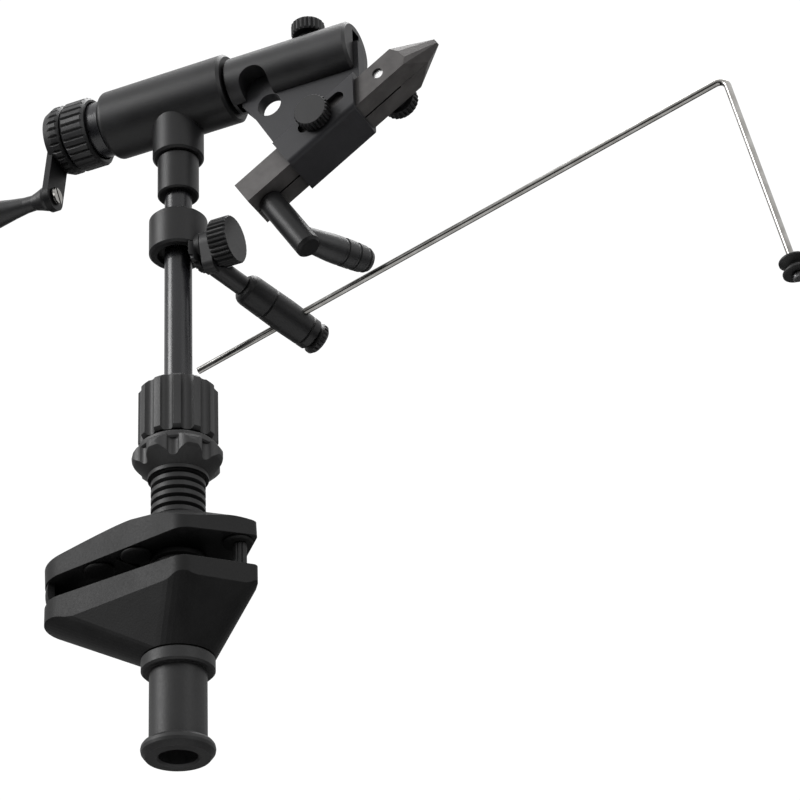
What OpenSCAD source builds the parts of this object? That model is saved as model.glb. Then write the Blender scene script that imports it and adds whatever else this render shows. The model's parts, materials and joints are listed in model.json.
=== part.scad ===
// Rotary fly tying vise on a table clamp, with a bobbin cradle on its post.
// Origin: on the stem axis, in the plane of the lower clamp jaw's top face, which
// meets the underside of a table. +Z is up, +X runs along the rotary axis towards
// the hook jaws, and +Y is the side away from the tyer.

/* [Clamp jaws] */
// Half of the clamp jaws' greatest width
clamp_half_w = 19.7; // [18:0.1:22]
// Reach of the clamp jaws in front of the stem, to the nose
clamp_nose = 30; // [27:0.1:36]
// Reach of the clamp jaws behind the stem, to the round end
clamp_reach = 50.3; // [47:0.1:60]
// Radius of the clamp jaws' round end
clamp_end_r = 13.4; // [12.6:0.1:15]
// Radius of the rounded shoulders at the widest place
clamp_shoulder_r = 7; // [4:0.5:9]
// Distance of the widest place in front of the stem axis
clamp_shoulder_x = 9.5; // [5:0.5:11]
// Radius of the rounded nose
clamp_nose_r = 2.2; // [1.5:0.1:3]
// Depth of the lower jaw at the stem
lower_jaw_h = 27.6; // [22:0.2:32]
// Opening between the closed jaws at the stem
jaw_gap = 9.75; // [8.5:0.05:11]
// Height of the upper jaw at the stem
upper_jaw_h = 11.6; // [10:0.2:12.4]
// Lean of the closed upper jaw, whose round end stands lower than its nose
cap_lean = 2.6; // [1.5:0.1:3.5]
// Diameter of the grip pads
pad_d = 10.6; // [9:0.1:10.8]
// Thickness of the grip pads below the upper jaw
pad_t = 1.2; // [0.8:0.1:2]
// Diameter of the fulcrum peg under the nose pad
peg_d = 4.6; // [4:0.1:5.5]
// Thickness of the lip at the round end of the upper jaw
lip_t = 2.7; // [2.2:0.1:3.2]

/* [Clamp stem and knob] */
// Outer diameter of the stem's thread
stem_d = 19; // [17.4:0.1:19]
// Diameter of the bore through the stem
stem_bore_d = 13.1; // [12:0.1:13.4]
// Thread pitch
thread_pitch = 3.2; // [2.5:0.1:4]
// Depth of the thread grooves
thread_depth = 1.2; // [0.8:0.1:1.3]
// Diameter of the plain tube below the clamp
tail_d = 19.5; // [18.5:0.1:22]
// Length of the plain tube below the collar
tail_len = 24.5; // [18:0.5:30]
// Diameter of the collar and of the bottom flange
collar_d = 25; // [23:0.1:28]
// Height of the collar under the lower jaw
collar_h = 5.3; // [4:0.1:7]
// Height of the bottom flange
flange_h = 5.9; // [4.5:0.1:8]
// Height of the lobed knob's underside above the lower jaw
knob_z = 40; // [38:0.5:41]
// Height of the lobed knob with its thrust washer
knob_h = 13; // [11:0.2:13.5]
// Diameter over the lobed knob's lobes
knob_d = 32.4; // [30:0.2:36]
// Number of lobes
knob_lobes = 7; // [5:1:9]
// Thickness of the thrust washer under the lobed knob
thrust_t = 1.5; // [1:0.1:2]

/* [Collet and post] */
// Diameter of the post
post_d = 10; // [9:0.1:10.4]
// Height of the collet nut's underside above the lower jaw
nut_z = 54; // [54:0.5:58]
// Height of the collet nut
nut_h = 22; // [20:0.5:26]
// Diameter of the collet nut
nut_d = 28; // [26:0.2:32]
// Number of ridges round the collet nut
nut_ridges = 12; // [8:1:14]
// Height of the rotary axis above the lower jaw
axis_z = 200; // [196:1:220]
// Depth of the post's lower end below the collet nut
post_tail = 69; // [60:1:75]
// Diameter of the sleeve under the housing
sleeve_d = 15.2; // [14:0.1:17]
// Length of the sleeve under the housing
sleeve_len = 16.5; // [14:0.5:18]

/* [Rotary housing] */
// Diameter of the housing tube
housing_d = 26.2; // [25:0.1:28]
// Reach of the housing tube behind the post axis
housing_rear = 28.5; // [25:0.5:32]
// Reach of the housing tube in front of the post axis
housing_front = 23.5; // [21:0.5:25]
// Diameter of the boss that takes the post
boss_d = 19; // [17.5:0.1:21]
// Distance of the boss's underside below the rotary axis
boss_drop = 25; // [22:0.5:28]
// Diameter of the rotary shaft
shaft_d = 12; // [10:0.1:13]
// Wall of the bushings
bushing_wall = 3; // [2:0.1:3.5]
// Diameter of the rear bushing's neck
bushing_neck_d = 22; // [20:0.1:22.4]

/* [Rear controls] */
// Diameter of the drag ring and of the crank hub
ring_d = 26.6; // [25:0.1:29]
// Width of the drag ring
drag_w = 10.2; // [8:0.1:12]
// Gap between the housing tube and the drag ring
drag_gap = 5.5; // [4.5:0.1:7]
// Width of the crank hub
hub_w = 7.1; // [6:0.1:9]
// Number of ribs round the drag ring and the crank hub
ring_ribs = 28; // [20:1:36]
// Distance from the rotary axis to the crank handle's axis
crank_r = 27.8; // [24:0.1:32]
// Lean of the crank towards the tyer
crank_lean = 9; // [0:1:20]
// Width of the crank arm
crank_w = 11; // [9:0.2:13]
// Thickness of the crank arm
crank_t = 2.5; // [2:0.1:3.5]
// Length of the crank handle
handle_len = 45; // [38:1:52]
// Diameter of the crank handle's bulb
handle_d = 14; // [12:0.5:17]

/* [Barrel] */
// Diameter of the barrel in front of the housing
barrel_d = 21.4; // [21:0.1:23]
// Length of the barrel
barrel_len = 50; // [46:0.5:56]
// Width of the slot that takes the jaw head's plate
slot_w = 5.4; // [4.8:0.1:6]
// Diameter of the lock knob on top of the barrel
lock_d = 12.5; // [11:0.1:14]
// Distance from the housing's front face to the lock knob's axis
lock_x = 31.1; // [26:0.5:36]

/* [Jaw head] */
// Slope of the hook jaws and their channel
jaw_slope = 31.5; // [30:0.1:33]
// Height of the hook jaws' rear lower edge below the rotary axis
jaw_drop = 58.5; // [58:0.1:60]
// Distance of that edge in front of the post axis
jaw_x = 32.6; // [32:0.1:34]
// Gap between the plate and each side of its slot
plate_gap = 0.2; // [0.15:0.01:0.3]
// Diameter of the round hole in the plate
plate_hole_d = 9.4; // [7:0.1:10]
// Start of the channel along the hook jaws
channel_start = 20.2; // [18:0.2:22]
// Distance of the channel's front face in front of the post axis
channel_front = 76.5; // [75.5:0.1:77.5]

/* [Hook jaws] */
// Length of the hook jaws
jaw_len = 88.6; // [86:0.2:94]
// Height of the hook jaws
jaw_h = 10; // [9:0.1:10.5]
// Width of the near hook jaw
near_w = 8; // [7:0.1:9]
// Width of the far hook jaw
far_w = 7.5; // [7:0.1:8]
// Distance of the jaw pivot and gap wheel along the hook jaws
pivot_s = 65; // [64.5:0.1:67]
// Diameter of the gap wheel
wheel_d = 13.4; // [11:0.1:14]
// Diameter of the slide knob
slide_knob_d = 13.2; // [11:0.1:15]

/* [Cam lever] */
// Diameter of the cam shaft
cam_d = 9.4; // [8:0.1:10.5]
// Length of the cam shaft below the hook jaws
cam_len = 29; // [26:0.5:33]
// Length of the cam handle from the shaft's axis
cam_handle_len = 31; // [28:0.5:38]
// Largest diameter of the cam handle
cam_handle_d = 10.6; // [9.4:0.1:12]
// Heading of the cam handle about the shaft, from the hook jaws' direction
cam_heading = 65.5; // [55:0.5:80]
// Slant of the cam handle towards the shaft's lower end
cam_slant = 13; // [5:0.5:18]

/* [Bobbin cradle] */
// Height of the cradle ring's underside above the lower jaw
cradle_z = 132.8; // [126:0.2:136]
// Diameter of the cradle ring
cradle_d = 21.3; // [20:0.1:24]
// Height of the cradle ring
cradle_h = 15.3; // [13:0.1:17]
// Diameter of the knob that locks the cradle
cradle_knob_d = 18; // [15:0.2:18.4]
// Slope of the cradle arm below level
arm_slope = 17.8; // [15:0.2:20]
// Heading of the cradle arm, from the rotary axis towards the side away from the tyer
arm_heading = 63.8; // [60:0.2:68]
// Diameter of the cradle arm's rod
arm_rod_d = 7.4; // [6.8:0.1:8]
// Diameter of the arm's sleeve
arm_sleeve_d = 12.6; // [11.6:0.1:13.4]
// Length of the arm's sleeve
arm_sleeve_len = 32.5; // [31:0.1:36]
// Diameter of the cradle wire
wire_d = 2.6; // [2:0.1:3]
// Slope of the cradle wire
wire_slope = 15.75; // [14:0.05:18]
// Length of the cradle wire to its bend
wire_len = 215; // [200:1:235]
// Length of the wire's leg below its bend
leg_len = 86; // [75:0.5:98]
// Angle that the wire turns through at its bend
wire_turn = 94.8; // [88:0.1:100]
// Diameter of the thread wheel at the wire's end
cradle_wheel_d = 10; // [8:0.1:12]

/* [Hidden] */
$fn = 64;
hull_facets = 40;

// Clearances: a running fit, a seat that is fixed in one body, a bare gap, an overrun
run = 0.05;
seat = 0.02;
bare = 0.3;
over = 1;

// Colours
black = [0.13, 0.13, 0.135];
grey = [0.24, 0.24, 0.25];
steel = [0.62, 0.62, 0.63];
bright = [0.83, 0.83, 0.81];
bronze = [0.66, 0.52, 0.34];
rubber = [0.08, 0.08, 0.08];

// Clamp stem, from the bottom flange to the collet's seat
stem_r = stem_d / 2;
collar_top = -lower_jaw_h;
tail_top = collar_top - collar_h;
flange_top = tail_top - tail_len;
stem_bottom = flange_top - flange_h;
flange_round = 1.6;
stem_chamfer = 0.7;
thread_start = 3.4;
collet_cover = 4;
stem_top = nut_z + nut_h - collet_cover;
thread_turns = floor((stem_top - stem_chamfer - thread_start) / thread_pitch) - 1;

// Collet and its nut
collet_d = 15.2;
collet_r = collet_d / 2;
collet_seat = 2;
collet_floor = nut_z + collet_seat;
collet_ring_h = 3;
slit_floor = collet_floor + collet_ring_h;
collet_nose_h = 2.6;
collet_nose_r = 6.1;
collet_slit = 1;
collet_top = stem_top + collet_nose_h;
nut_groove_r = 2.5;
nut_groove_out = 0.7;
nut_chamfer = 1.2;
nut_heading = -63;

// Lobed knob
knob_wall = 1.1;
knob_base_r = stem_r + knob_wall;
knob_collar_r = 14;
knob_collar_h = 3;
knob_core_r = 12.9;
knob_lobe_r = 4.6;
knob_heading = -43;
knob_belly_share = 0.58;
knob_belly_r = 3.4;
knob_lobe_at = knob_d / 2 - knob_lobe_r;
knob_step = 180 / knob_lobes;
knob_valley_r = (pow(knob_core_r, 2) + pow(knob_lobe_at, 2) - pow(knob_lobe_r, 2)
    - 2 * knob_core_r * knob_lobe_at * cos(knob_step))
    / (2 * (knob_lobe_r - knob_core_r + knob_lobe_at * cos(knob_step)));
knob_valley_at = knob_core_r + knob_valley_r;

// Clamp jaws
end_x = -clamp_reach + clamp_end_r;
shoulder_y = clamp_half_w - clamp_shoulder_r;
nose_x = clamp_nose - clamp_nose_r;
peg_inset = 6.3;
peg_x = clamp_nose - peg_inset;
cap_bore_r = stem_r + 3 * run;

// The circles that a jaw's crown flares out to, as [X, Y, radius], and its round pad's radius
crown_skin = 0.1;
crown_pad_r = 12.5;
crown_end_back = 10.3;
crown_tip_ahead = 3.8;
crown_end = [end_x - crown_end_back, 0, 15.1];
crown_side = [clamp_shoulder_x, 9.3, 12.7];
crown_tip = [nose_x + crown_tip_ahead, 0, 3.05];
cap_pad_r = 14;
cap_end_back = 20.8;
cap_side_back = 8.6;
cap_tip_ahead = 12.4;
cap_end = [end_x - cap_end_back, 0, 37.8];
cap_side = [clamp_shoulder_x - cap_side_back, 15.3, 16.4];
cap_tip = [nose_x + cap_tip_ahead, 0, 4.1];
lip_seat_depth = 0.6;
lip_gap = 0.1;
lip_bulge_r = 12;
lip_inner_r = 40;
lip_mid_share = 0.63;
lip_half_angle = 50;
lip_seat_spare = 3;
lip_seat_angle = lip_half_angle + lip_seat_spare;
lip_seat_out = 1.2;
lip_seat_w = lip_t + lip_seat_out;
lip_low = lip_seat_depth - lip_gap;
lip_h = jaw_gap - clamp_reach * sin(cap_lean) + lip_low + over;
pad_rear_x = -25.8;
pad_rear_y = 8.8;
pad_side_x = -10;
pad_side_y = 11.4;
pad_nose_x = 22.8;
pad_chamfer = 0.4;
peg_ribs = 8;
peg_rib_depth = 0.4;
peg_socket = 2.5;
peg_gap = 0.1;
rib_w = 0.8;
rib_h = 0.6;
rib_from = [-16.9, 12.1];
rib_to = [-13.8, 2.7];

// Post, sleeve and housing
post_r = post_d / 2;
post_bottom = nut_z - post_tail;
post_in = 11;
post_top = axis_z - boss_drop + post_in;
post_chamfer = 0.6;
sleeve_bottom = axis_z - boss_drop - sleeve_len;
housing_r = housing_d / 2;
housing_round = 2;
shaft_r = shaft_d / 2;
bushing_r = shaft_r + bushing_wall;
bushing_len = 11;
front_gap = 0.3;
barrel_x = housing_front + front_gap;
boss_round = 0.8;

// Rear controls
ring_r = ring_d / 2;
drag_x = -housing_rear - drag_gap;
drag_back = drag_x - drag_w;
hub_gap = 0.5;
hub_x = drag_back - hub_gap;
hub_back = hub_x - hub_w;
arm_sink = 1.8;
arm_front = hub_back + arm_sink;
arm_back = arm_front - crank_t;
cup_r = bushing_neck_d / 2 + bare;
cup_depth = 5.2;
drag_washer_t = 1.6;
neck_len = drag_gap + cup_depth - drag_washer_t - 2 * run;
rib_depth = 0.7;
ring_round = 1.1;
hub_taper = 1.5;
crank_screw_r = 2;
crank_head_r = 4;
crank_head_t = 1.6;
crank_screw_in = 8;
drive_slot_w = 0.9;
drive_slot_depth = 0.8;
handle_screw_r = 2.2;
handle_slot_turn = 35;
handle_head_r = 3.4;
handle_head_t = 1.4;
handle_bore_len = 15;
handle_gap = 0.2;
handle_flare_r = 4.6;
handle_neck_r = 2.95;
crank_y = -crank_r * sin(crank_lean);
crank_z = axis_z - crank_r * cos(crank_lean);

// Barrel
barrel_r = barrel_d / 2;
barrel_wall = 2.2;
slot_x = barrel_x + barrel_wall;
slot_rise = 7.3;
slot_top = axis_z + slot_rise;
barrel_round = 1;
arch_r = 5.7;
arch_in = 12;
arch_drop = 6.8;
arch_x = barrel_x + arch_in;
arch_z = axis_z - arch_drop;
tilt_x = arch_x;
tilt_rise = 3.2;
tilt_z = axis_z + tilt_rise;
tilt_pin_r = 1.75;
tilt_wall = 1.8;
lock_h = 5.3;
lock_neck_r = 3.2;
lock_neck_h = 2.4;
lock_screw_r = 2;
lock_ribs = 22;
lock_axis_x = housing_front + lock_x;
lock_sink = 0.6;
lock_seat_z = axis_z + barrel_r - lock_sink;

// Jaw head: a plate in the barrel's slot over a channel round the hook jaws
plate_t = slot_w - 2 * plate_gap;
plate_in = 2.2;
plate_back = slot_x + plate_in;
plate_front_step = 0.8;
plate_front = channel_front - plate_front_step;
plate_crest_r = slot_top - tilt_z - plate_gap;
plate_shoulder_drop = 2;
plate_shoulder_z = axis_z - plate_shoulder_drop;
plate_knee_drop = 12;
plate_knee_z = axis_z - plate_knee_drop;
plate_step_in = 3.9;
plate_step_drop = 16.8;
plate_step = [plate_back + plate_step_in, axis_z - plate_step_drop];
plate_foot_in = 16;
plate_foot_x = plate_back + plate_foot_in;
plate_tip_rise = 1.6;
plate_tip_z = axis_z + plate_tip_rise;
plate_hole_in = 3.5;
plate_hole_drop = 14.7;
plate_hole = [tilt_x + plate_hole_in, axis_z - plate_hole_drop];
channel_roof_t = 2;
channel_near_t = 2;
channel_far_t = 1.4;
channel_corner = 1;
channel_top = jaw_h + channel_roof_t;
channel_floor = 1.35;
channel_near = near_w + channel_near_t;
channel_far = far_w + channel_far_t;
channel_round = 2;
channel_room = 0.1;
jaw_z = axis_z - jaw_drop;

// Hook jaws
slide_s = 38.3;
slide_n = 7.2;
slide_slot_from = 30.2;
slide_slot_to = 51;
slide_slot_r = 2.3;
slide_screw_r = 1.9;
slit_half = 0.4;
tip_half = 0.05;
nose_from = 73.5;
nose_lap = 0.5;
tip_low = 3.7;
tip_high = 5.8;
tip_w = 0.7;
heel_end = 81.5;
brow_end = 78;
cheek_low = [75.9, 2.5];
cheek_high = [75.8, 6.4];
cheek_top = 74;
cheek_bottom = 73.9;

// Gap wheel and slide knob
gap_screw_r = 2.05;
gap_hole_r = gap_screw_r + run;
gap_swing_r = 3.3;
gap_wheel_off = 0.4;
gap_wheel_y = channel_far + gap_wheel_off;
knob_edge = 0.6;
gap_wheel_h = 4;
gap_wheel_ribs = 24;
gap_tip_sink = 1;
gap_collar_r = 4.2;
slide_knob_off = 0.2;
slide_knob_y = channel_near + slide_knob_off;
slide_knob_h = 4.8;
slide_knob_ribs = 26;
slide_screw_tip = 1.6;

// Cam lever
cam_s = 6;
cam_r = cam_d / 2;
cam_pin_r = 2.5;
cam_pin_hole_r = 3.3;
cam_gap = 0.3;
cam_clip_r = 4.2;
cam_clip_t = 1;
cam_pin_top = 1.4;
cam_end_edge = 1;
cam_top_edge = 0.5;
cam_handle_n = 22.2;
cam_stub_r = 2.5;
cam_stub_in = 3.4;
cam_neck_in = 0.4;
cam_neck_r = cam_r - cam_neck_in;
cam_saddle = cam_r - sqrt(pow(cam_r, 2) - pow(cam_neck_r, 2)) + bare;
cam_groove_r = 0.75;

// Bobbin cradle
cradle_r = cradle_d / 2;
cradle_bore_r = post_r + run;
counterbore_r = 7.6;
counterbore_h = 2.4;
cradle_chamfer = 0.8;
hub_rise = 0.2;
hub_axis_z = cradle_z + hub_rise;
lug_from = counterbore_r + bare;
lug_rim = 0.5;
lug_to = cradle_r + lug_rim;
lug_r = 5.6;
star_r = 8.8;
star_teeth = 16;
star_tooth = 1;
eye_from = lug_to + bare;
eye_t = 4.3;
eye_r = 5.6;
stud_r = 2.45;
stud_gap = 0.2;
cradle_knob_x = eye_from + eye_t + bare;
cradle_knob_h = 7.4;
cradle_knob_ribs = 30;
cradle_knob_edge = 0.5;
arm_root = [14, 3.3, -7.5];
arm_reach = 12.1;
rod_back = 4;
spigot_r = 3;
spigot_len = 12;
spigot_gap = 0.25;
shoulder_len = 3.2;
sleeve_grooves = [11.6, 29.2];
sleeve_groove_w = 0.9;
sleeve_groove_depth = 0.45;
sleeve_belly_share = 0.6;
sleeve_end_share = 0.95;
cap_gap = 0.5;
cap_len = 3.6;
cap_ribs = 22;
cap_edge = 1.1;
cap_tooth = 0.5;
cap_screw_r = 2.4;
cross_s = 22.2;
wire_room = 2.8;
cap_screw_len = arm_sleeve_len - cross_s - wire_room;
wire_tail = 39.5;
wire_r = wire_d / 2;
bend_r = 3.5;
wheel_h = 6;
wheel_web_r = 2.6;
wheel_rim = 0.9;
wheel_nut_r = 2.1;
wheel_nut_h = 1.9;
wheel_gap = 0.2;

// The direction of the cradle arm, where its sleeve starts and where the wire crosses it
arm_dir = [cos(arm_slope) * cos(arm_heading), cos(arm_slope) * sin(arm_heading), -sin(arm_slope)];
arm_start = [0, 0, hub_axis_z] + arm_root + arm_reach * arm_dir;
cross_at = arm_start + cross_s * arm_dir;

// Two points where the common outer tangent of circles a and b, [x, y, r], touches them
function tangent_pair(a, b) =
    let(d = [b[0] - a[0], b[1] - a[1]])
    let(side = atan2(d[1], d[0]) - acos((a[2] - b[2]) / norm(d)))
    [[a[0] + a[2] * cos(side), a[1] + a[2] * sin(side)],
        [b[0] + b[2] * cos(side), b[1] + b[2] * sin(side)]];

// The outline that a band would take round a ring of circles, listed anticlockwise
module banded(circles) {
    n = len(circles);
    polygon([for (i = [0:n - 1]) for (p = tangent_pair(circles[i], circles[(i + 1) % n])) p]);
    for (c = circles) translate([c[0], c[1]]) circle(r = c[2]);
}

// Places that give X as the axis of a turned piece, or Y as the direction of its height
module along_x(x = 0, z = 0) {
    translate([x, 0, z]) rotate([0, 90, 0]) children();
}
module along_y(x, y, z) {
    translate([x, y, z]) rotate([-90, 0, 0]) children();
}

// The hook jaws' own frame: X along the jaws, Y as in the model, Z up through the bars
module jaw_frame() {
    translate([jaw_x, 0, jaw_z]) rotate([0, -jaw_slope, 0]) children();
}

// The cradle arm's own frame: Z runs down the arm from the sleeve's start
module arm_frame() {
    translate(arm_start) rotate([0, 90 + arm_slope, arm_heading]) children();
}

// A round bar with both edges chamfered
module turned(r, h, c) {
    rotate_extrude() polygon([[0, 0], [r - c, 0], [r, c], [r, h - c], [r - c, h], [0, h]]);
}

// A turned disc with a row of ribs round its rim
module ribbed(r, h, ribs, depth, c) {
    intersection() {
        turned(r, h, c);
        linear_extrude(h) difference() {
            circle(r = r);
            for (i = [0:ribs - 1]) rotate(360 * i / ribs) translate([r, 0]) rotate(45)
                square(depth * sqrt(2), center = true);
        }
    }
}

// A screwdriver slot across the end of a screw whose end face is at height 0, cut downwards
module driver_slot(r) {
    translate([-r - over, -drive_slot_w / 2, -drive_slot_depth])
        cube([2 * (r + over), drive_slot_w, drive_slot_depth + over]);
}

// Plan of both clamp jaws
module clamp_plan() {
    banded([[end_x, 0, clamp_end_r], [clamp_shoulder_x, -shoulder_y, clamp_shoulder_r],
        [nose_x, 0, clamp_nose_r], [clamp_shoulder_x, shoulder_y, clamp_shoulder_r]]);
}

// A flared block that crowns a jaw: a round pad at one height, four circles at another
module crown(r, z_round, rear, side, tip, z_flare) {
    hull() {
        translate([0, 0, z_round]) cylinder(r = r, h = crown_skin, $fn = hull_facets);
        for (c = [rear, side, [side[0], -side[1], side[2]], tip])
            translate([c[0], c[1], z_flare]) cylinder(r = c[2], h = crown_skin, $fn = hull_facets);
    }
}

module lower_jaw() color(black) difference() {
    intersection() {
        translate([0, 0, -lower_jaw_h]) linear_extrude(lower_jaw_h) clamp_plan();
        crown(crown_pad_r, -lower_jaw_h, crown_end, crown_side, crown_tip, 0);
    }
    translate([0, 0, -lower_jaw_h - over]) cylinder(r = stem_r + seat, h = lower_jaw_h + 2 * over);
    translate([peg_x, 0, -peg_socket]) cylinder(d = peg_d, h = peg_socket + over);
    lip_seat();
}

// The ledge round the lower jaw's end that the upper jaw's lip stands on
module lip_seat() {
    translate([end_x, 0, -lip_seat_depth]) rotate([0, 0, 180 - lip_seat_angle])
        rotate_extrude(angle = 2 * lip_seat_angle)
            translate([clamp_end_r - lip_seat_w, 0]) square([lip_seat_w + over, lip_seat_depth + over]);
}

module clamp_stem() color(black) rotate_extrude() polygon(concat(
    [[stem_bore_d / 2, stem_bottom + stem_chamfer], [stem_bore_d / 2 + stem_chamfer, stem_bottom],
        [collar_d / 2 - flange_round, stem_bottom]],
    [for (a = [-60:30:60]) [collar_d / 2 - flange_round * (1 - cos(a)),
        stem_bottom + flange_h / 2 + (flange_h / 2 - stem_chamfer) * sin(a)]],
    [[collar_d / 2 - flange_round, flange_top - stem_chamfer], [tail_d / 2, flange_top],
        [tail_d / 2, tail_top], [collar_d / 2 - stem_chamfer, tail_top],
        [collar_d / 2, tail_top + stem_chamfer], [collar_d / 2, collar_top - stem_chamfer],
        [collar_d / 2 - stem_chamfer, collar_top], [stem_r, collar_top]],
    [for (i = [0:thread_turns]) for (p = thread_groove(thread_start + i * thread_pitch)) p],
    [[stem_r, stem_top - stem_chamfer], [stem_r - stem_chamfer, stem_top], [collet_r + run, stem_top],
        [collet_r + run, collet_floor], [stem_bore_d / 2, collet_floor]]));

// One groove of the stem's thread, drawn as a ring that starts at height z
function thread_groove(z) = [[stem_r, z], [stem_r - thread_depth, z + 0.2 * thread_pitch],
    [stem_r - thread_depth, z + 0.28 * thread_pitch], [stem_r, z + 0.5 * thread_pitch]];

module fulcrum_peg() color(black) translate([peg_x, 0, -peg_socket])
    ribbed(peg_d / 2, peg_socket + jaw_gap + (peg_x - peg_d / 2) * tan(cap_lean) - pad_t - peg_gap, peg_ribs,
        peg_rib_depth, peg_rib_depth / 2);

// The upper jaw's own frame: its underside is at height 0
module cap_frame() {
    translate([0, 0, jaw_gap]) rotate([0, -cap_lean, 0]) children();
}

module upper_jaw() color(black) difference() {
    cap_frame() union() {
        intersection() {
            linear_extrude(upper_jaw_h) clamp_plan();
            crown(cap_pad_r, upper_jaw_h - crown_skin, cap_end, cap_side, cap_tip, 0);
        }
        lip();
        for (side = [-1, 1]) underside_rib(side);
    }
    cylinder(r = cap_bore_r, h = jaw_gap + 2 * upper_jaw_h);
    translate([-clamp_reach - over, -clamp_half_w, -lip_low - clamp_half_w])
        cube([clamp_reach, 2 * clamp_half_w, clamp_half_w]);
}

// The curved lip at the upper jaw's round end, bowed outwards and drawn in at its toe
module lip() {
    mid = (lip_mid_share - 1) * lip_h;
    translate([end_x, 0, 0]) rotate([0, 0, 180 - lip_half_angle]) rotate_extrude(angle = 2 * lip_half_angle)
        intersection() {
            translate([clamp_end_r - lip_bulge_r, mid]) circle(r = lip_bulge_r, $fn = 4 * hull_facets);
            difference() {
                translate([0, -lip_h]) square([clamp_end_r + over, lip_h + lip_t]);
                translate([clamp_end_r - lip_t - lip_inner_r, mid])
                    circle(r = lip_inner_r, $fn = 4 * hull_facets);
            }
        }
}

// A short rib that stiffens the upper jaw's underside between two pads
module underside_rib(side) {
    run_x = rib_to[0] - rib_from[0];
    run_y = side * (rib_to[1] - rib_from[1]);
    translate([rib_from[0], side * rib_from[1], -rib_h]) rotate([0, 0, atan2(run_y, run_x)])
        translate([0, -rib_w / 2, 0]) cube([norm([run_x, run_y]), rib_w, 2 * rib_h]);
}

module grip_pads() color(rubber) cap_frame()
    for (at = [[pad_rear_x, pad_rear_y], [pad_rear_x, -pad_rear_y], [pad_side_x, pad_side_y],
            [pad_side_x, -pad_side_y], [pad_nose_x, 0]])
        translate([at[0], at[1], -pad_t]) turned(pad_d / 2, pad_t, pad_chamfer);

module thrust_washer() color(black) translate([0, 0, knob_z]) difference() {
    cylinder(r = knob_base_r, h = thrust_t - run);
    translate([0, 0, -over]) cylinder(r = stem_r + run, h = thrust_t + 2 * over);
}

// The lobed knob's outline: round lobes and round valleys that run into each other
module lobed_outline() {
    difference() {
        union() {
            polygon([for (i = [0:knob_lobes - 1]) for (k = [0, 1])
                (k == 0 ? knob_lobe_at : knob_valley_at)
                    * [cos(2 * i * knob_step + k * knob_step), sin(2 * i * knob_step + k * knob_step)]]);
            for (i = [0:knob_lobes - 1]) rotate(2 * i * knob_step) translate([knob_lobe_at, 0])
                circle(r = knob_lobe_r);
        }
        for (i = [0:knob_lobes - 1]) rotate((2 * i + 1) * knob_step) translate([knob_valley_at, 0])
            circle(r = knob_valley_r + 2 * run);
    }
}

module clamp_knob() color(black) {
    h = knob_h - thrust_t;
    belly = knob_belly_share * h;
    translate([0, 0, knob_z + thrust_t]) difference() {
        union() {
            intersection() {
                rotate_extrude() polygon(concat([[0, 0], [knob_base_r, 0]],
                    [for (a = [-45:22.5:45]) [knob_d / 2 - knob_belly_r * (1 - cos(a)),
                        belly + knob_belly_r * sin(a)]],
                    [[knob_collar_r, h - knob_collar_h / 2], [0, h - knob_collar_h / 2]]));
                rotate([0, 0, knob_heading]) linear_extrude(h) lobed_outline();
            }
            translate([0, 0, h - knob_collar_h]) turned(knob_collar_r, knob_collar_h, knob_edge);
        }
        translate([0, 0, -over]) cylinder(r = stem_r + run, h = h + 2 * over);
    }
}

module collet() color(steel) difference() {
    rotate_extrude() polygon([[0, collet_floor + run], [collet_r, collet_floor + run],
        [collet_r, stem_top], [collet_nose_r, collet_top], [0, collet_top]]);
    translate([0, 0, collet_floor - over])
        cylinder(r = post_r + run, h = collet_top - collet_floor + 2 * over);
    for (a = [0, 90]) rotate([0, 0, a])
        translate([-collet_d, -collet_slit / 2, slit_floor]) cube([2 * collet_d, collet_slit, nut_h]);
}

module collet_nut() color(black) translate([0, 0, nut_z]) difference() {
    intersection() {
        turned(nut_d / 2, nut_h, nut_chamfer);
        linear_extrude(nut_h) difference() {
            circle(r = nut_d / 2);
            for (i = [0:nut_ridges - 1]) rotate(nut_heading + 360 * (i + 0.5) / nut_ridges)
                translate([nut_d / 2 + nut_groove_out, 0]) circle(r = nut_groove_r);
        }
    }
    translate([0, 0, -over]) cylinder(r = stem_r + run, h = stem_top - nut_z + over + bare);
    translate([0, 0, stem_top - nut_z + bare - seat])
        cylinder(r1 = collet_r + bare, r2 = collet_nose_r + bare, h = collet_nose_h);
    translate([0, 0, stem_top - nut_z]) cylinder(r = post_r + bare, h = nut_h);
}

module post() color(grey) translate([0, 0, post_bottom]) turned(post_r, post_top - post_bottom, post_chamfer);

module post_sleeve() color(black) translate([0, 0, sleeve_bottom]) difference() {
    turned(sleeve_d / 2, sleeve_len, post_chamfer);
    translate([0, 0, -over]) cylinder(r = post_r + seat, h = sleeve_len + 2 * over);
}

module housing() color(black) difference() {
    union() {
        along_x(-housing_rear, axis_z) rotate_extrude() polygon(concat([[0, 0], [bushing_neck_d / 2, 0]],
            [for (a = [0:15:90]) [housing_r - housing_round * (1 - sin(a)), housing_round * (1 - cos(a))]],
            [[housing_r, housing_rear + housing_front - barrel_round],
                [housing_r - barrel_round, housing_rear + housing_front],
                [0, housing_rear + housing_front]]));
        translate([0, 0, axis_z - boss_drop]) turned(boss_d / 2, boss_drop, boss_round);
    }
    along_x(-housing_rear - over, axis_z)
        cylinder(r = bushing_r + seat, h = housing_rear + housing_front + 2 * over);
    translate([0, 0, axis_z - boss_drop - over]) cylinder(r = post_r + seat, h = boss_drop);
}

module rear_bushing() color(bronze) along_x(-housing_rear - neck_len, axis_z) difference() {
    union() {
        turned(bushing_neck_d / 2 - bare, neck_len, boss_round);
        cylinder(r = bushing_r, h = neck_len + bushing_len);
    }
    translate([0, 0, -over]) cylinder(r = shaft_r + run, h = neck_len + bushing_len + 2 * over);
}

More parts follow.
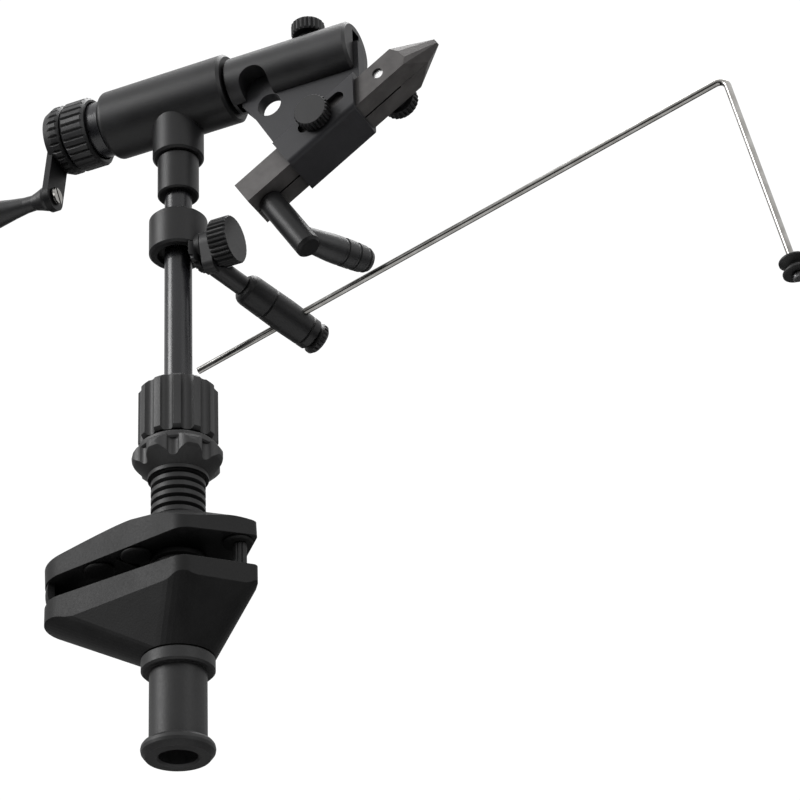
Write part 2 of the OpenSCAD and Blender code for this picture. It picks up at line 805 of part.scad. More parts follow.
module front_bushing() color(bronze) along_x(housing_front - bushing_len, axis_z) difference() {
    cylinder(r = bushing_r, h = bushing_len);
    translate([0, 0, -over]) cylinder(r = shaft_r + run, h = bushing_len + 2 * over);
}

module rotary_shaft() color(steel) difference() {
    along_x(arm_front, axis_z) turned(shaft_r, slot_x - arm_front, post_chamfer);
    along_x(arm_front - over, axis_z) cylinder(r = crank_screw_r + seat, h = crank_screw_in + over);
}

module drag_ring() color(black) along_x(drag_back, axis_z) difference() {
    ribbed(ring_r, drag_w, ring_ribs, rib_depth, ring_round);
    translate([0, 0, -over]) cylinder(r = shaft_r + run, h = drag_w + 2 * over);
    translate([0, 0, drag_w - cup_depth]) cylinder(r = cup_r, h = cup_depth + over);
}

module drag_washer() color(bronze) along_x(drag_x - cup_depth, axis_z) difference() {
    cylinder(r = cup_r - bare, h = drag_washer_t);
    translate([0, 0, -over]) cylinder(r = shaft_r + bare, h = drag_washer_t + 2 * over);
}

module crank_hub() color(black) difference() {
    along_x(hub_back, axis_z) difference() {
        intersection() {
            ribbed(ring_r, hub_w, ring_ribs, rib_depth, ring_round);
            cylinder(r1 = ring_r - hub_taper, r2 = ring_r + hub_taper, h = hub_w);
        }
        translate([0, 0, -over]) cylinder(r = shaft_r + seat, h = hub_w + 2 * over);
    }
    translate([hub_back - over, 0, 0]) crank_outline(arm_sink + over, seat);
}

// The crank arm's outline as a slab along +X, grown by a margin for its seat in the hub
module crank_outline(t, margin) {
    rotate([90, 0, 90]) linear_extrude(t) banded([[crank_y, crank_z, crank_w / 2 + margin],
        [0, axis_z, crank_w / 2 + margin]]);
}

module crank_arm() color(black) difference() {
    translate([arm_back, 0, 0]) crank_outline(crank_t, 0);
    along_x(arm_back - over, axis_z) cylinder(r = crank_screw_r + seat, h = crank_t + 2 * over);
    translate([0, crank_y, 0]) along_x(arm_back - over, crank_z)
        cylinder(r = handle_screw_r + seat, h = crank_t + 2 * over);
}

module crank_screw() color(steel) difference() {
    union() {
        along_x(arm_back - crank_head_t, axis_z) turned(crank_head_r, crank_head_t, drive_slot_w / 2);
        along_x(arm_back, axis_z) cylinder(r = crank_screw_r, h = crank_screw_in + crank_t - over);
    }
    translate([arm_back - crank_head_t, 0, axis_z]) rotate([0, -90, 0]) driver_slot(crank_head_r);
}

module handle_screw() color(bright) translate([0, crank_y, 0]) difference() {
    union() {
        along_x(arm_front, crank_z) turned(handle_head_r, handle_head_t, drive_slot_w / 2);
        along_x(arm_front - crank_t - handle_bore_len + over, crank_z)
            cylinder(r = handle_screw_r, h = handle_bore_len + crank_t - over);
    }
    along_x(arm_front + handle_head_t, crank_z) rotate([0, 0, handle_slot_turn]) driver_slot(handle_head_r);
}

// The handle's profile: heights are shares of its length, radii run from the flare to the bulb
handle_share = [0, 0.03, 0.08, 0.14, 0.22, 0.34, 0.46, 0.58, 0.7, 0.8, 0.88, 0.94, 0.98, 1];
handle_swell_share = [0, 0, 0, 0, 0.03, 0.22, 0.46, 0.7, 0.9, 1, 0.97, 0.82, 0.55, 0];
module crank_handle() color(black) translate([arm_back - handle_gap, crank_y, crank_z]) rotate([0, -90, 0])
    difference() {
        rotate_extrude() polygon(concat([[0, 0], [handle_flare_r - bare, 0],
            [handle_flare_r, handle_len * handle_share[1]],
            [(handle_flare_r + handle_neck_r) / 2, handle_len * handle_share[2]]],
            [for (i = [3:len(handle_share) - 2])
                [handle_neck_r + (handle_d / 2 - handle_neck_r) * handle_swell_share[i],
                    handle_len * handle_share[i]]],
            [[0, handle_len]]));
        translate([0, 0, -over]) cylinder(r = handle_screw_r + run, h = handle_bore_len + over);
    }

module barrel() color(black) difference() {
    along_x(barrel_x, axis_z) turned(barrel_r, barrel_len, barrel_round);
    along_x(barrel_x - over, axis_z) cylinder(r = shaft_r + seat, h = barrel_wall + 2 * over);
    translate([slot_x, -slot_w / 2, axis_z - barrel_r - over])
        cube([barrel_len, slot_w, slot_top - axis_z + barrel_r + over]);
    arch_cut();
    along_y(tilt_x, -barrel_r + tilt_wall, tilt_z) cylinder(r = tilt_pin_r + seat, h = barrel_d);
    translate([lock_axis_x, 0, lock_seat_z]) cylinder(r = lock_neck_r + bare, h = over);
    translate([lock_axis_x, 0, slot_top - over]) cylinder(r = lock_screw_r + run, h = barrel_r);
}

// The cross cut under the barrel, with a round top, where the plate's neck shows
module arch_cut() {
    along_y(arch_x, -barrel_r - over, arch_z) cylinder(r = arch_r, h = barrel_d + 2 * over);
    translate([arch_x - arch_r, -barrel_r - over, axis_z - barrel_r - over])
        cube([2 * arch_r, barrel_d + 2 * over, arch_z - axis_z + barrel_r + over]);
}

module tilt_pin() color(steel) difference() {
    along_y(tilt_x, -barrel_r + tilt_wall + bare, tilt_z) turned(tilt_pin_r, barrel_d - 2 * tilt_wall, bare);
    along_y(tilt_x, barrel_r - tilt_wall + bare, tilt_z) driver_slot(tilt_pin_r);
}

module lock_knob() color(black) translate([lock_axis_x, 0, lock_seat_z]) {
    cylinder(r = lock_neck_r, h = lock_neck_h + over);
    translate([0, 0, lock_neck_h]) ribbed(lock_d / 2, lock_h, lock_ribs, rib_depth, knob_edge);
    translate([0, 0, slot_top - lock_seat_z + bare]) cylinder(r = lock_screw_r, h = lock_seat_z - slot_top);
}

// Height, at x, of the middle of the channel's top wall, where the plate grows out of it
function channel_roof(x) = jaw_z + (x - jaw_x) * tan(jaw_slope)
    + (jaw_h + (channel_top - jaw_h) / 2) / cos(jaw_slope);

// The plate of the jaw head, drawn on the plane of X and Z
module plate_outline() {
    difference() {
        union() {
            polygon([[plate_back, plate_shoulder_z], [plate_back, plate_knee_z], plate_step,
                [plate_foot_x, channel_roof(plate_foot_x)], [plate_front, channel_roof(plate_front)],
                [plate_front, plate_tip_z], [tilt_x, tilt_z + plate_crest_r * 0.98],
                [tilt_x - plate_crest_r * 0.8, tilt_z + plate_crest_r * 0.55]]);
            translate([tilt_x, tilt_z]) circle(r = plate_crest_r);
        }
        translate([tilt_x, tilt_z]) circle(r = tilt_pin_r + run);
        translate(plate_hole) circle(d = plate_hole_d);
    }
}

module jaw_head() color(grey) difference() {
    union() {
        translate([0, plate_t / 2, 0]) rotate([90, 0, 0]) linear_extrude(plate_t) plate_outline();
        intersection() {
            jaw_frame() translate([channel_start, 0, 0]) rotate([90, 0, 90]) linear_extrude(jaw_len)
                channel_section();
            translate([0, -channel_near - over, jaw_z - jaw_h])
                cube([channel_front, channel_near + channel_far + 2 * over, axis_z - jaw_z + jaw_h]);
        }
    }
    jaw_frame() translate([channel_start - over, -near_w - channel_room, -channel_room / 2])
        cube([jaw_len, near_w + far_w + 3 * channel_room, jaw_h + channel_room]);
    jaw_frame() translate([0, -near_w, 0]) rotate([90, 0, 0]) linear_extrude(channel_near)
        banded([[slide_slot_from + slide_slot_r, slide_n, slide_slot_r],
            [slide_slot_to - slide_slot_r, slide_n, slide_slot_r]]);
}

// The channel's outer section: X is the model's Y, Y is up through the bars
module channel_section() {
    banded([[-channel_near + channel_round, -channel_floor + channel_round, channel_round],
        [channel_far - channel_corner, -channel_floor + channel_corner, channel_corner],
        [channel_far - channel_corner, channel_top - channel_corner, channel_corner],
        [-channel_near + channel_corner, channel_top - channel_corner, channel_corner]]);
}

// The tapered nose of one hook jaw, on the side given by its outer and inner faces
module jaw_nose(outer, inner) {
    tip = inner + sign(outer) * tip_w;
    points = [[nose_from - nose_lap, outer, 0], [nose_from - nose_lap, outer, jaw_h],
        [nose_from - nose_lap, inner, jaw_h], [nose_from - nose_lap, inner, 0],
        [cheek_bottom, outer, 0], [cheek_low[0], outer, cheek_low[1]], [cheek_high[0], outer, cheek_high[1]],
        [cheek_top, outer, jaw_h], [heel_end, inner, 0], [brow_end, inner, jaw_h],
        [jaw_len, inner, tip_low], [jaw_len, inner, tip_high], [jaw_len, tip, tip_low],
        [jaw_len, tip, tip_high]];
    hull() polyhedron(points = points, faces = [[for (i = [0:len(points) - 1]) i]]);
}

module near_jaw() color(steel) jaw_frame() difference() {
    union() {
        translate([0, -near_w, 0]) cube([nose_from, near_w - tip_half, jaw_h]);
        jaw_nose(-near_w, -tip_half);
    }
    tail_slit();
    translate([cam_s, 0, -over]) cylinder(r = cam_pin_hole_r, h = jaw_h + 2 * over);
    along_y(slide_s, -near_w - over, slide_n)
        cylinder(r = slide_screw_r + run, h = near_w - slit_half);
    along_y(pivot_s, -near_w - over, jaw_h / 2) cylinder(r = gap_hole_r, h = near_w + 2 * over);
}

module far_jaw() color(steel) jaw_frame() difference() {
    union() {
        translate([0, tip_half, 0]) cube([nose_from, far_w - tip_half, jaw_h]);
        jaw_nose(far_w, tip_half);
    }
    tail_slit();
    translate([cam_s, 0, -over]) cylinder(r = cam_pin_hole_r, h = jaw_h + 2 * over);
    along_y(pivot_s, -over, jaw_h / 2) cylinder(r = gap_swing_r, h = far_w + 2 * over);
}

// The slit between the two hook jaws behind their pivot, which lets the cam close it
module tail_slit() {
    translate([-over, -slit_half, -over])
        cube([pivot_s + over + gap_swing_r, 2 * slit_half, jaw_h + 2 * over]);
}

module gap_wheel() color(black) jaw_frame() {
    along_y(pivot_s, gap_wheel_y, jaw_h / 2) ribbed(wheel_d / 2, gap_wheel_h, gap_wheel_ribs, rib_depth,
        knob_edge);
    along_y(pivot_s, far_w + bare, jaw_h / 2) cylinder(r = gap_collar_r, h = gap_wheel_y - far_w);
    along_y(pivot_s, -near_w + gap_tip_sink, jaw_h / 2)
        cylinder(r = gap_screw_r, h = near_w - gap_tip_sink + gap_wheel_y + over);
}

module slide_knob() color(black) jaw_frame() {
    along_y(slide_s, -slide_knob_y - slide_knob_h, slide_n)
        ribbed(slide_knob_d / 2, slide_knob_h, slide_knob_ribs, rib_depth, knob_edge);
    along_y(slide_s, -slide_knob_y - over, slide_n)
        cylinder(r = slide_screw_r, h = slide_knob_y + over - slide_screw_tip);
}

module cam_shaft() color(black) jaw_frame() difference() {
    translate([cam_s, 0, -cam_len]) union() {
        rotate_extrude() polygon([[0, 0], [cam_r - cam_end_edge, 0], [cam_r, cam_end_edge],
            [cam_r, cam_len - cam_gap - cam_top_edge], [cam_r - cam_top_edge, cam_len - cam_gap],
            [0, cam_len - cam_gap]]);
        cylinder(r = cam_pin_r, h = cam_len + jaw_h + cam_pin_top);
    }
    cam_handle_frame() cylinder(r = cam_stub_r + seat, h = cam_d);
}

module cam_clip() color(steel) jaw_frame() translate([cam_s, 0, jaw_h + run]) difference() {
    cylinder(r = cam_clip_r, h = cam_clip_t);
    translate([0, 0, -over]) cylinder(r = cam_pin_r + seat, h = cam_clip_t + 2 * over);
}

// The cam handle's frame in the jaw frame: Z runs out along the handle from the shaft
module cam_handle_frame() {
    translate([cam_s, 0, -cam_handle_n]) rotate([0, 0, cam_heading]) rotate([0, 90 + cam_slant, 0])
        translate([0, 0, cam_r - cam_stub_in]) children();
}

// The cam handle's profile: shares of its free length, and of its swell over the neck
cam_share = [0, 0.16, 0.32, 0.5, 0.68, 0.84, 0.92, 0.97, 1];
cam_swell_share = [0, 0.55, 0.9, 1, 0.95, 0.75, 0.35, -0.4, 0];
cam_groove_shares = [0.5, 0.7, 0.88];
function cam_radius(k) = cam_neck_r + (cam_handle_d / 2 - cam_neck_r)
    * lookup(k, [for (i = [0:len(cam_share) - 2]) [cam_share[i], cam_swell_share[i]]]);
module cam_handle() color(black) jaw_frame() {
    free = cam_handle_len - cam_r;
    cam_handle_frame() cylinder(r = cam_stub_r, h = cam_stub_in + over);
    difference() {
        cam_handle_frame() translate([0, 0, cam_stub_in]) rotate_extrude()
            polygon(concat([[0, -cam_saddle], [cam_neck_r, -cam_saddle]],
                [for (i = [1:len(cam_share) - 2]) [cam_radius(cam_share[i]), free * cam_share[i]]],
                [[0, free]]));
        cam_handle_frame() for (k = cam_groove_shares) translate([0, 0, cam_stub_in + free * k])
            rotate_extrude() translate([cam_radius(k), 0]) circle(r = cam_groove_r, $fn = 16);
        translate([cam_s, 0, -cam_len - over]) cylinder(r = cam_r + seat, h = cam_len + 2 * over);
    }
}

module cradle_ring() color(black) difference() {
    union() {
        translate([0, 0, cradle_z]) turned(cradle_r, cradle_h, cradle_chamfer);
        along_x(lug_from, hub_axis_z) cylinder(r = lug_r, h = lug_to - lug_from);
        intersection() {
            along_x(lug_from, hub_axis_z) ribbed(star_r, cradle_r - lug_from, star_teeth, star_tooth, bare);
            translate([0, 0, hub_axis_z - 2 * star_r]) cylinder(r = cradle_r, h = 2 * star_r);
        }
    }
    translate([0, 0, cradle_z - 2 * star_r]) cylinder(r = cradle_bore_r, h = cradle_h + 3 * star_r);
    translate([0, 0, cradle_z - over]) cylinder(r = counterbore_r, h = counterbore_h + over);
    along_x(0, hub_axis_z) cylinder(r = stud_r + run, h = cradle_d);
}

module cradle_knob() color(black) {
    along_x(post_r + stud_gap, hub_axis_z) cylinder(r = stud_r, h = cradle_knob_x - post_r);
    along_x(cradle_knob_x, hub_axis_z)
        ribbed(cradle_knob_d / 2, cradle_knob_h, cradle_knob_ribs, rib_depth, cradle_knob_edge);
}

module cradle_arm() color(black) difference() {
    union() {
        along_x(eye_from, hub_axis_z) linear_extrude(eye_t) banded([[0, 0, eye_r],
            [-arm_root[2], 0, arm_rod_d / 2]]);
        arm_frame() {
            translate([0, 0, -arm_reach - rod_back])
                cylinder(r = arm_rod_d / 2, h = arm_reach + rod_back - spigot_gap);
            translate([0, 0, -over]) cylinder(r = spigot_r, h = spigot_len + over - spigot_gap);
        }
    }
    translate([0, -2 * eye_r, hub_axis_z - 3 * eye_r]) cube([eye_from, 4 * eye_r, 5 * eye_r]);
    along_x(0, hub_axis_z) cylinder(r = stud_r + 2 * run, h = eye_from + eye_t);
    along_x(eye_from + eye_t, hub_axis_z) cylinder(r = cradle_knob_d / 2 + bare, h = 2 * cradle_knob_h);
}

// The arm sleeve's radius at a distance from its start: it swells to a belly
function sleeve_radius(z) = arm_sleeve_d / 2 * lookup(z, [[0, sleeve_end_share],
    [sleeve_belly_share * arm_sleeve_len, 1], [arm_sleeve_len, sleeve_end_share]]);

module arm_sleeve() color(black) arm_frame() difference() {
    rotate_extrude() polygon(concat(
        [[0, 0], [arm_rod_d / 2, 0]],
        [for (a = [22.5:22.5:90]) [arm_rod_d / 2 + (sleeve_radius(shoulder_len) - arm_rod_d / 2) * sin(a),
            shoulder_len * (1 - cos(a))]],
        [for (p = [[0, -1], [1, 0], [0, 1]]) [sleeve_radius(sleeve_grooves[0]) - p[0] * sleeve_groove_depth,
            sleeve_grooves[0] + p[1] * sleeve_groove_w / 2]],
        [[arm_sleeve_d / 2, sleeve_belly_share * arm_sleeve_len]],
        [for (p = [[0, -1], [1, 0], [0, 1]]) [sleeve_radius(sleeve_grooves[1]) - p[0] * sleeve_groove_depth,
            sleeve_grooves[1] + p[1] * sleeve_groove_w / 2]],
        [[sleeve_radius(arm_sleeve_len), arm_sleeve_len - sleeve_groove_depth],
            [sleeve_radius(arm_sleeve_len) - sleeve_groove_depth, arm_sleeve_len], [0, arm_sleeve_len]]));
    translate([0, 0, -over]) cylinder(r = spigot_r + run, h = spigot_len + over);
    translate([0, 0, arm_sleeve_len - cap_screw_len])
        cylinder(r = cap_screw_r + run, h = cap_screw_len + over);
    translate([0, 0, cross_s]) rotate([0, -90 - arm_slope, 0]) rotate([0, 0, -arm_heading])
        rotate([0, 90 - wire_slope, 0]) translate([0, 0, -arm_sleeve_d])
            cylinder(r = wire_r + run, h = 2 * arm_sleeve_d);
}

module wire_clamp_cap() color(black) arm_frame() translate([0, 0, arm_sleeve_len + cap_gap]) {
    ribbed(sleeve_radius(arm_sleeve_len), cap_len, cap_ribs, cap_tooth, cap_edge);
    translate([0, 0, bare - cap_gap - cap_screw_len]) cylinder(r = cap_screw_r, h = cap_screw_len + over);
}

// The wire's own frame: Z runs up the wire from its lower end
module wire_frame() {
    translate(cross_at) rotate([0, 90 - wire_slope, 0])
        translate([0, 0, -wire_tail]) children();
}

// The frame of the wire's leg: Z runs down the leg from the end of the bend
module leg_frame() {
    wire_frame() translate([bend_r, 0, wire_len]) rotate([0, wire_turn, 0]) translate([-bend_r, 0, 0])
        children();
}

module cradle_wire() color(bright) {
    wire_frame() cylinder(r = wire_r, h = wire_len + bare);
    wire_frame() translate([bend_r, 0, wire_len]) rotate([90, 0, 0]) intersection() {
        rotate_extrude() translate([bend_r, 0]) circle(r = wire_r + seat);
        translate([0, 0, -wire_d]) linear_extrude(2 * wire_d) polygon([[0, 0], 3 * bend_r * [-1, 0],
            3 * bend_r * [-1, 1], 3 * bend_r * [cos(180 - wire_turn), sin(180 - wire_turn)]]);
    }
    leg_frame() translate([0, 0, -bare]) cylinder(r = wire_r, h = leg_len + bare);
}

module thread_wheel() color(black) leg_frame()
    translate([0, 0, leg_len - wheel_nut_h / 2 - wheel_gap - wheel_h]) rotate_extrude()
        polygon([[wire_r + run, 0], [cradle_wheel_d / 2 - bare, 0], [cradle_wheel_d / 2, bare],
            [cradle_wheel_d / 2, wheel_rim], [wheel_web_r, wheel_h / 2],
            [cradle_wheel_d / 2, wheel_h - wheel_rim], [cradle_wheel_d / 2, wheel_h - bare],
            [cradle_wheel_d / 2 - bare, wheel_h], [wire_r + run, wheel_h]]);

module wheel_nut() color(grey) leg_frame() translate([0, 0, leg_len - wheel_nut_h / 2]) difference() {
    turned(wheel_nut_r, wheel_nut_h, bare);
    translate([0, 0, -over]) cylinder(r = wire_r + seat, h = wheel_nut_h / 2 + over);
}

lower_jaw();
clamp_stem();
fulcrum_peg();
upper_jaw();
grip_pads();
thrust_washer();
clamp_knob();
collet();
collet_nut();
post();
post_sleeve();
housing();
rear_bushing();
front_bushing();
rotary_shaft();
drag_ring();
drag_washer();
crank_hub();
crank_arm();
crank_screw();
handle_screw();
crank_handle();
barrel();
lock_knob();
jaw_head();
tilt_pin();
near_jaw();
far_jaw();
gap_wheel();
slide_knob();
cam_shaft();
cam_clip();
cam_handle();
cradle_ring();
cradle_knob();
cradle_arm();
arm_sleeve();
wire_clamp_cap();
cradle_wire();
thread_wheel();
wheel_nut();
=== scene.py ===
"""The looks of the rotary fly tying vise: its finishes, its studio and its camera.

Everything is in metres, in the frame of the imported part: the origin is on the clamp
stem's axis in the plane of the lower jaw's top face, +Z is up and +X runs along the
rotary axis towards the hook jaws.
"""

import json
import math
import bpy
from mathutils import Matrix, Vector


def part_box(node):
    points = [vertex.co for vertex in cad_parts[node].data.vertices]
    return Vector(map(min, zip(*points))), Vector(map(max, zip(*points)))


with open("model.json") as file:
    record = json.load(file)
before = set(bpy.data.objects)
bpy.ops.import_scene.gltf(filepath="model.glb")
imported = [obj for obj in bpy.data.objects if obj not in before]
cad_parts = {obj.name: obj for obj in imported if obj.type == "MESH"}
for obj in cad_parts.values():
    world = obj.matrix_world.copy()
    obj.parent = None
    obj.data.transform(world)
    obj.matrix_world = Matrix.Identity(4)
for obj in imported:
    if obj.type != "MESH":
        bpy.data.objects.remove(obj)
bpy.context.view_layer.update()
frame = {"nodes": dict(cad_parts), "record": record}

MM = 0.001

# The camera, as it was fitted to the photograph
IMAGE_SIDE = 800
CAMERA_HEADING = math.radians(23.7)
CAMERA_ELEVATION = math.radians(-30.2)
CAMERA_ROLL = math.radians(2.6)
FOCAL_PIXELS = 2836
SENSOR_WIDTH = 36
ANCHOR = Vector((0, 0, 84 * MM))
ANCHOR_PIXEL = (178.3, 372)
ANCHOR_DEPTH = 1002 * MM
FAR_CLIP = 20

# The specular level of a finish that states none
PLAIN_SPECULAR = 0.5

# Painted shade in hollows: how dark a finish's colour is painted in its deepest hollows, and how open a
# place is at both ends of that blend
PAINTED_SHADE_DEEPEST = 0.12
PAINTED_SHADE_REACH = 7 * MM
PAINTED_SHADE_OPENING = (0.25, 0.9)

# Samples of the nodes that look around a point
NEAR_SAMPLES = 6

# The cosine between the rounded and the true normal where wear begins, and where it is full
WEAR_COSINES = (0.995, 0.9)

# The reach of wear as a share of a finish's edge, and its patches: how much finer they are than the
# mottle, the part of their noise that counts, and the wear that is left between them
WEAR_REACH = 1.6
WEAR_GRAIN = 6
WEAR_BAND = (0.4, 0.62)
WEAR_LEAST = 0.35

# The worn colour of a finish that states none: its light tone times a share, and a little more
WORN_SHARE = 2.2
WORN_LIFT = 0.02

# The part of a noise's spread that carries the colour, and the part that carries the gloss
COLOUR_BAND = (0.35, 0.65)
GLOSS_BAND = (0.3, 0.7)

# The two noises of a finish
MOTTLE_DETAIL = 5
GRAIN_DETAIL = 3
GRAIN_ROUGHNESS = 0.6
GRAIN_HEIGHT = 0.1 * MM

# The depth of the gap screw's bare end, over which its polish also fades, and its colour
SCREW_END = 0.15 * MM
SCREW_END_COLOUR = (0.97, 0.97, 0.97)

# The floor
FLOOR_Z = -760 * MM
FLOOR_RADIUS = 0.8
FLOOR_SIDES = 96
FLOOR_ROUGHNESS = 0.7
FLOOR_CLOUDS = 3
FLOOR_TONES = ((0.5, 0.5, 0.495), (0.54, 0.54, 0.54))

# The surround: its light from below and from above, the heights between which it changes, and its
# brightness where the camera looks at it
SURROUND_BELOW = 0.02
SURROUND_ABOVE = 0.8
SURROUND_BAND = (-0.35, 0.75)
SURROUND_SEEN = 1.05

# The soft lights, which face one point of the object: name, place, side and power
STUDIO_CENTRE = Vector((0.05, 0, 0.08))
LIGHTS = (
    ("key_light", (-1.0, -1.0, 0.7), 0.7, 12),
    ("top_light", (0.1, 0.3, 1.6), 1.0, 16),
    ("fill_light", (1.3, -0.5, 0.4), 0.6, 2),
)


# Node helpers

def add(tree, kind, values=None, **settings):
    """A new node with some sockets set and some properties set."""
    node = tree.nodes.new(kind)
    for name, value in settings.items():
        setattr(node, name, value)
    for name, value in (values or {}).items():
        node.inputs[name].default_value = value
    return node


def join(tree, source, target):
    """A link between two sockets."""
    tree.links.new(source, target)


def noise(tree, place, scale, detail=4.0, roughness=0.55):
    """A noise pattern, with its scale in cycles per metre."""
    made = add(tree, "ShaderNodeTexNoise", {"Scale": scale, "Detail": detail, "Roughness": roughness})
    join(tree, place, made.inputs["Vector"])
    return made.outputs["Fac"]


def remap(tree, source, low, high, to_low, to_high):
    """A value carried from one range to another, and held at its ends."""
    made = add(tree, "ShaderNodeMapRange",
               {"From Min": low, "From Max": high, "To Min": to_low, "To Max": to_high}, clamp=True)
    join(tree, source, made.inputs["Value"])
    return made.outputs["Result"]


def blend_colours(tree, share, first, second):
    """A colour between two, where each is a colour or a socket."""
    made = add(tree, "ShaderNodeMix", data_type="RGBA")
    join(tree, share, made.inputs[0])
    for socket, colour in ((made.inputs[6], first), (made.inputs[7], second)):
        if isinstance(colour, tuple):
            socket.default_value = (*colour, 1)
        else:
            join(tree, colour, socket)
    return made.outputs[2]


def combine(tree, operation, first, second):
    """Two values combined, where each is a number or a socket."""
    made = add(tree, "ShaderNodeMath", operation=operation)
    for socket, value in zip(made.inputs, (first, second)):
        if isinstance(value, (int, float)):
            socket.default_value = value
        else:
            join(tree, value, socket)
    return made.outputs[0]


def scaled_colour(tree, share, colour):
    """A colour multiplied by a share."""
    made = add(tree, "ShaderNodeVectorMath", operation="SCALE")
    join(tree, colour, made.inputs["Vector"])
    join(tree, share, made.inputs["Scale"])
    return made.outputs["Vector"]


def painted_hollow_shade(tree, distance):
    """1 on open faces, less in hollows and where pieces meet, where shadow falls; it darkens a finish's
    colour as painted shade.
    """
    made = add(tree, "ShaderNodeAmbientOcclusion", {"Distance": distance}, samples=NEAR_SAMPLES)
    return made.outputs["AO"]


def edge_wear(tree, radius):
    """0 on open faces and up to 1 at edges, from a rounded normal."""
    rounded = add(tree, "ShaderNodeBevel", {"Radius": radius}, samples=NEAR_SAMPLES)
    true = add(tree, "ShaderNodeNewGeometry")
    turned = add(tree, "ShaderNodeVectorMath", operation="DOT_PRODUCT")
    join(tree, rounded.outputs["Normal"], turned.inputs[0])
    join(tree, true.outputs["Normal"], turned.inputs[1])
    return remap(tree, turned.outputs["Value"], *WEAR_COSINES, 0, 1)


# The finishes

def finish_of(name, colour, light, rough, rough_spread=0.08, metallic=0.0, grain=900.0, grain_depth=0.05,
              mottle=60.0, edge=0.18 * MM, worn=None, worn_share=0.5, specular=PLAIN_SPECULAR,
              stretch=(1, 1, 1)):
    """A procedural finish: a mottled colour, an uneven gloss, a fine grain, worn edges and painted shade
    in hollows.
    """
    material = bpy.data.materials.new(name)
    material.use_nodes = True
    tree = material.node_tree
    shader = tree.nodes["Principled BSDF"]
    shader.inputs["Metallic"].default_value = metallic
    shader.inputs["Specular IOR Level"].default_value = specular
    place = add(tree, "ShaderNodeTexCoord").outputs["Object"]
    mapping = add(tree, "ShaderNodeMapping", {"Scale": stretch})
    join(tree, place, mapping.inputs["Vector"])
    place = mapping.outputs["Vector"]

    cloud = noise(tree, place, mottle, detail=MOTTLE_DETAIL)
    fine = noise(tree, place, grain, detail=GRAIN_DETAIL, roughness=GRAIN_ROUGHNESS)
    shade = remap(tree, cloud, *COLOUR_BAND, 0, 1)
    body = blend_colours(tree, shade, colour, light)
    wear = edge_wear(tree, WEAR_REACH * edge)
    patches = remap(tree, noise(tree, place, WEAR_GRAIN * mottle), *WEAR_BAND, WEAR_LEAST, 1)
    scuff = combine(tree, "MULTIPLY", wear, patches)
    worn = worn or tuple(min(1, WORN_SHARE * c + WORN_LIFT) for c in light)
    painted = blend_colours(tree, combine(tree, "MULTIPLY", scuff, worn_share), body, worn)
    # Painted shade: the colour is darkened in hollows and where pieces meet, standing in for shadow
    painted_shade = remap(tree, painted_hollow_shade(tree, PAINTED_SHADE_REACH), *PAINTED_SHADE_OPENING, PAINTED_SHADE_DEEPEST, 1)
    join(tree, scaled_colour(tree, painted_shade, painted), shader.inputs["Base Color"])

    gloss = remap(tree, cloud, *GLOSS_BAND, rough - rough_spread / 2, rough + rough_spread / 2)
    speckle = remap(tree, fine, *GLOSS_BAND, -rough_spread / 2, rough_spread / 2)
    join(tree, combine(tree, "ADD", gloss, speckle), shader.inputs["Roughness"])

    rounded = add(tree, "ShaderNodeBevel", {"Radius": edge}, samples=NEAR_SAMPLES)
    bump = add(tree, "ShaderNodeBump", {"Strength": grain_depth, "Distance": GRAIN_HEIGHT})
    join(tree, fine, bump.inputs["Height"])
    join(tree, rounded.outputs["Normal"], bump.inputs["Normal"])
    join(tree, bump.outputs["Normal"], shader.inputs["Normal"])
    return material


FINISHES = {
    "moulded_black": dict(colour=(0.017, 0.017, 0.0175), light=(0.026, 0.026, 0.0265), rough=0.5,
                          grain=1500, grain_depth=0.5, edge=0.24 * MM, worn_share=0.3),
    "grip_rubber": dict(colour=(0.007, 0.007, 0.007), light=(0.012, 0.012, 0.012), rough=0.72,
                        grain=1200, grain_depth=0.3, worn_share=0.15),
    "black_anodised": dict(colour=(0.013, 0.013, 0.0138), light=(0.02, 0.02, 0.0212), rough=0.42,
                           grain=2200, grain_depth=0.34, edge=0.16 * MM, worn_share=0.4),
    "head_grey": dict(colour=(0.029, 0.029, 0.0325), light=(0.04, 0.04, 0.045), rough=0.46,
                      grain=2000, grain_depth=0.28, edge=0.16 * MM, worn_share=0.45),
    "post_steel": dict(colour=(0.016, 0.016, 0.019), light=(0.026, 0.026, 0.031), rough=0.28,
                       grain=1500, grain_depth=0.08, edge=0.15 * MM, specular=0.7,
                       stretch=(1, 1, 0.12)),
    "jaw_steel": dict(colour=(0.095, 0.09, 0.0885), light=(0.14, 0.133, 0.131), rough=0.46, metallic=0.25,
                      grain=2200, grain_depth=0.35, mottle=130, edge=0.12 * MM, worn=(0.26, 0.25, 0.245)),
    "plain_steel": dict(colour=(0.24, 0.24, 0.245), light=(0.36, 0.36, 0.36), rough=0.34, metallic=1.0,
                        grain=2600, grain_depth=0.08, mottle=120, edge=0.12 * MM),
    "bright_steel": dict(colour=(0.4, 0.39, 0.37), light=(0.6, 0.59, 0.57), rough=0.16, metallic=1.0,
                         grain=3000, mottle=160, edge=0.1 * MM),
    "bearing_bronze": dict(colour=(0.3, 0.2, 0.1), light=(0.42, 0.28, 0.14), rough=0.38, metallic=1.0,
                           grain=2400, grain_depth=0.1, mottle=150, edge=0.12 * MM),
}

# Pieces painted lighter or darker than their slot's finish, as painted light and shade for how the lamps
# fall on them: shares of its colour, and shares of its specular level
PAINTED_LIGHT_AND_GLOSS_SHARES = {"lower_jaw": (0.7, 0.5), "upper_jaw": (0.8, 0.5), "collet_nut": (1.5, 1.3),
          "clamp_knob": (1.4, 1.5), "clamp_stem": (1.3, 1), "crank_arm": (0.7, 0.6),
          "cam_shaft": (0.8, 0.8), "cam_handle": (1.8, 1.5), "cradle_arm": (1.4, 1.3),
          "lock_knob": (1.2, 1.2), "barrel": (1.5, 1.2), "drag_ring": (1.3, 1.2),
          "crank_handle": (1.3, 1.3)}
made_finishes = {}


